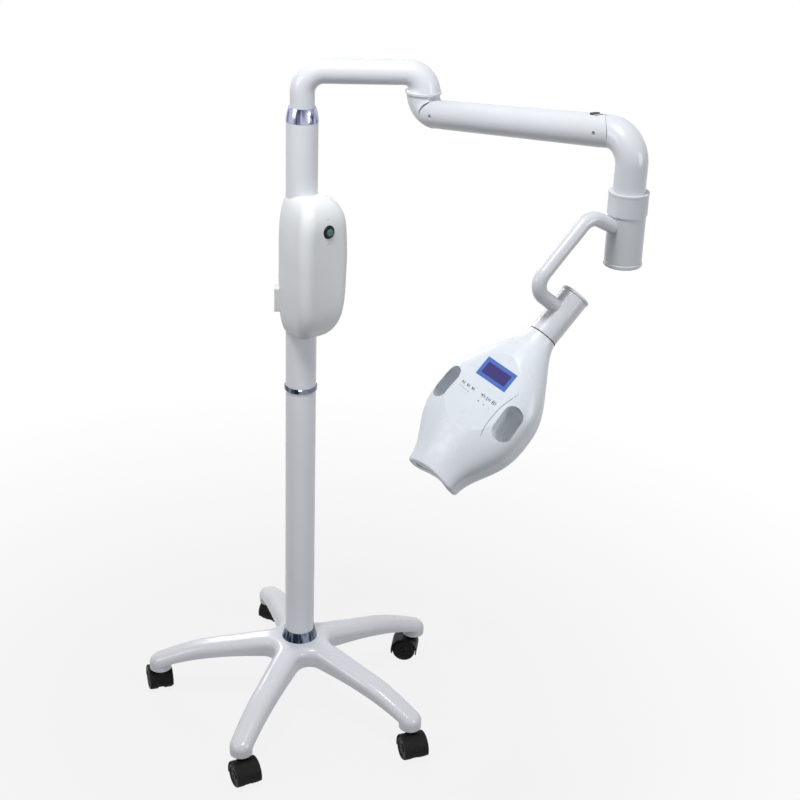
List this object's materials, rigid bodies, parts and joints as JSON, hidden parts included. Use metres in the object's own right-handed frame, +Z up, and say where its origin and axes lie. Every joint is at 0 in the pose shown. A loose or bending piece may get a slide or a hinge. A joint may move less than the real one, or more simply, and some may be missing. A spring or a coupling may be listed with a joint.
{
  "type": "teeth whitening machine",
  "caption": "Wheeled floor stand with a column, power box, swivelling gooseneck and balance arm that carries a curved whitening lamp head with grips, screen and keys.",
  "frame": {"origin": "where the column's axis meets the floor", "axes": "+Z up along the column, +X the way the gooseneck reaches at rest"},
  "size_m": [0.9009, 0.9377, 1.3812],
  "materials": {
    "base_enamel": "gloss enamel",
    "column_enamel": "gloss enamel",
    "arm_enamel": "gloss enamel",
    "moulded_white": "satin moulding",
    "head_white": "gloss moulding",
    "box_white": "satin moulding",
    "collar_chrome": "polished",
    "hood_black": "fine grain",
    "wheel_black": "smooth nylon",
    "steel": "turned",
    "bush_nylon": "plain",
    "switch_black": "gloss",
    "button_green": "gloss",
    "inlet_white": "satin moulding",
    "screen_blue": "clear coated",
    "key_white": "satin",
    "light_smoke": "gloss",
    "lens_clear": "frosted",
    "board_green": "coated",
    "sink_aluminium": "extruded",
    "core_steel": "varnished",
    "washer_dark": "plain"
  },
  "bodies": {
    "stand": {"star_base": "base_enamel", "base_bolt": "steel", "caster_sleeves": "bush_nylon", "caster_stems": "steel", "lower_collar": "collar_chrome", "lower_column": "column_enamel", "column_joiner": "steel", "mid_ring": "collar_chrome", "upper_column": "column_enamel", "top_collar": "collar_chrome", "swivel_bush": "bush_nylon", "box_front_cover": "box_white", "box_rear_cover": "box_white", "switch_bezel": "switch_black", "power_inlet": "inlet_white", "power_supply": "core_steel"},
    "button": {"power_button": "button_green"},
    "neck": {"gooseneck_pipe": "arm_enamel", "upper_elbow": "moulded_white", "elbow_spindle": "steel"},
    "elbow": {"lower_elbow": "moulded_white"},
    "arm": {"near_yoke": "moulded_white", "arm_tube": "arm_enamel", "far_yoke": "moulded_white", "arm_plug": "switch_black", "arm_pins": "steel", "arm_spring": "steel"},
    "rod": {"level_rod": "steel"},
    "drop_elbow": {"end_elbow": "moulded_white", "wrist_collar": "moulded_white", "wrist_spindle": "steel"},
    "wrist": {"wrist_sleeve": "moulded_white", "wrist_cap": "moulded_white", "head_link": "arm_enamel", "link_cap": "moulded_white"},
    "head": {"head_spindle": "steel", "joint_washer": "washer_dark", "head_front_shell": "head_white", "head_rear_shell": "head_white", "screen": "screen_blue", "control_board": "board_green", "indicator_lights": "light_smoke", "light_lens": "lens_clear", "led_board": "board_green", "heat_sink": "sink_aluminium"},
    "caster_1": {"caster_hood_1": "hood_black"},
    "wheels_1": {"caster_wheels_1": "wheel_black"},
    "caster_2": {"caster_hood_2": "hood_black"},
    "wheels_2": {"caster_wheels_2": "wheel_black"},
    "caster_3": {"caster_hood_3": "hood_black"},
    "wheels_3": {"caster_wheels_3": "wheel_black"},
    "caster_4": {"caster_hood_4": "hood_black"},
    "wheels_4": {"caster_wheels_4": "wheel_black"},
    "caster_5": {"caster_hood_5": "hood_black"},
    "wheels_5": {"caster_wheels_5": "wheel_black"},
    "key_1": {"panel_key_1": "key_white"},
    "key_2": {"panel_key_2": "key_white"},
    "key_3": {"panel_key_3": "key_white"}
  },
  "joints": [
    {"name": "neck_swivel", "type": "hinge", "parent": "stand", "child": "neck", "pos_m": [0, 0, 1.266], "axis": [0, 0, 1], "range_deg": [-150, 150]},
    {"name": "elbow_swivel", "type": "hinge", "parent": "neck", "child": "elbow", "pos_m": [0.22, 0, 1.3212], "axis": [0, 0, 1], "range_deg": [-75, 120]},
    {"name": "arm_tilt", "type": "hinge", "parent": "elbow", "child": "arm", "pos_m": [0.24811, -0.03315, 1.28992], "axis": [-0.7627, -0.6468, 0], "range_deg": [-35, 30]},
    {"name": "rod_tilt", "type": "hinge", "parent": "elbow", "child": "rod", "pos_m": [0.24694, -0.03177, 1.30279], "axis": [-0.7627, -0.6468, 0], "range_deg": [-35, 30]},
    {"name": "drop_level", "type": "hinge", "parent": "arm", "child": "drop_elbow", "pos_m": [0.49502, -0.32429, 1.34357], "axis": [-0.7627, -0.6468, 0], "range_deg": [-30, 35]},
    {"name": "wrist_swivel", "type": "hinge", "parent": "drop_elbow", "child": "wrist", "pos_m": [0.53522, -0.3717, 1.21814], "axis": [0, 0, 1], "range_deg": [-120, 120]},
    {"name": "head_roll", "type": "hinge", "parent": "wrist", "child": "head", "pos_m": [0.39803, -0.45091, 1.03186], "axis": [-0.6282, -0.3627, -0.6884], "range_deg": [-90, 90]},
    {"name": "button_press", "type": "slide", "parent": "stand", "child": "button", "axis": [-0.6157, 0.788, 0], "range_m": [0, 0.002], "stiffness_N_per_m": 400, "springref_m": -0.001},
    {"name": "caster_swivel_1", "type": "hinge", "parent": "stand", "child": "caster_1", "pos_m": [0.2255, -0.19328, 0.062], "axis": [0, 0, 1], "continuous": true},
    {"name": "wheel_roll_1", "type": "hinge", "parent": "caster_1", "child": "wheels_1", "pos_m": [0.23107, -0.2104, 0.025], "axis": [0.9511, 0.309, 0], "continuous": true},
    {"name": "caster_swivel_2", "type": "hinge", "parent": "stand", "child": "caster_2", "pos_m": [0.2535, 0.15474, 0.062], "axis": [0, 0, 1], "continuous": true},
    {"name": "wheel_roll_2", "type": "hinge", "parent": "caster_2", "child": "wheels_2", "pos_m": [0.23578, 0.15787, 0.025], "axis": [-0.1736, -0.9848, 0], "continuous": true},
    {"name": "caster_swivel_3", "type": "hinge", "parent": "stand", "child": "caster_3", "pos_m": [-0.06883, 0.28891, 0.062], "axis": [0, 0, 1], "continuous": true},
    {"name": "wheel_roll_3", "type": "hinge", "parent": "caster_3", "child": "wheels_3", "pos_m": [-0.0585, 0.30366, 0.025], "axis": [-0.8192, 0.5736, 0], "continuous": true},
    {"name": "caster_swivel_4", "type": "hinge", "parent": "stand", "child": "caster_4", "pos_m": [-0.29604, 0.02382, 0.062], "axis": [0, 0, 1], "continuous": true},
    {"name": "wheel_roll_4", "type": "hinge", "parent": "caster_4", "child": "wheels_4", "pos_m": [-0.3007, 0.04121, 0.025], "axis": [-0.9659, -0.2588, 0], "continuous": true},
    {"name": "caster_swivel_5", "type": "hinge", "parent": "stand", "child": "caster_5", "pos_m": [-0.11414, -0.27419, 0.062], "axis": [0, 0, 1], "continuous": true},
    {"name": "wheel_roll_5", "type": "hinge", "parent": "caster_5", "child": "wheels_5", "pos_m": [-0.10653, -0.29051, 0.025], "axis": [0.9063, 0.4226, 0], "continuous": true},
    {"name": "key_press_1", "type": "slide", "parent": "head", "child": "key_1", "axis": [0.4124, 0.5949, -0.6899], "range_m": [0, 0.0005], "stiffness_N_per_m": 300, "springref_m": -0.001},
    {"name": "key_press_2", "type": "slide", "parent": "head", "child": "key_2", "axis": [0.4124, 0.5949, -0.6899], "range_m": [0, 0.0005], "stiffness_N_per_m": 300, "springref_m": -0.001},
    {"name": "key_press_3", "type": "slide", "parent": "head", "child": "key_3", "axis": [0.4124, 0.5949, -0.6899], "range_m": [0, 0.0005], "stiffness_N_per_m": 300, "springref_m": -0.001}
  ],
  "couplings": [
    {"joint": "rod_tilt", "follows": "arm_tilt", "ratio": 1},
    {"joint": "drop_level", "follows": "arm_tilt", "ratio": -1}
  ]
}
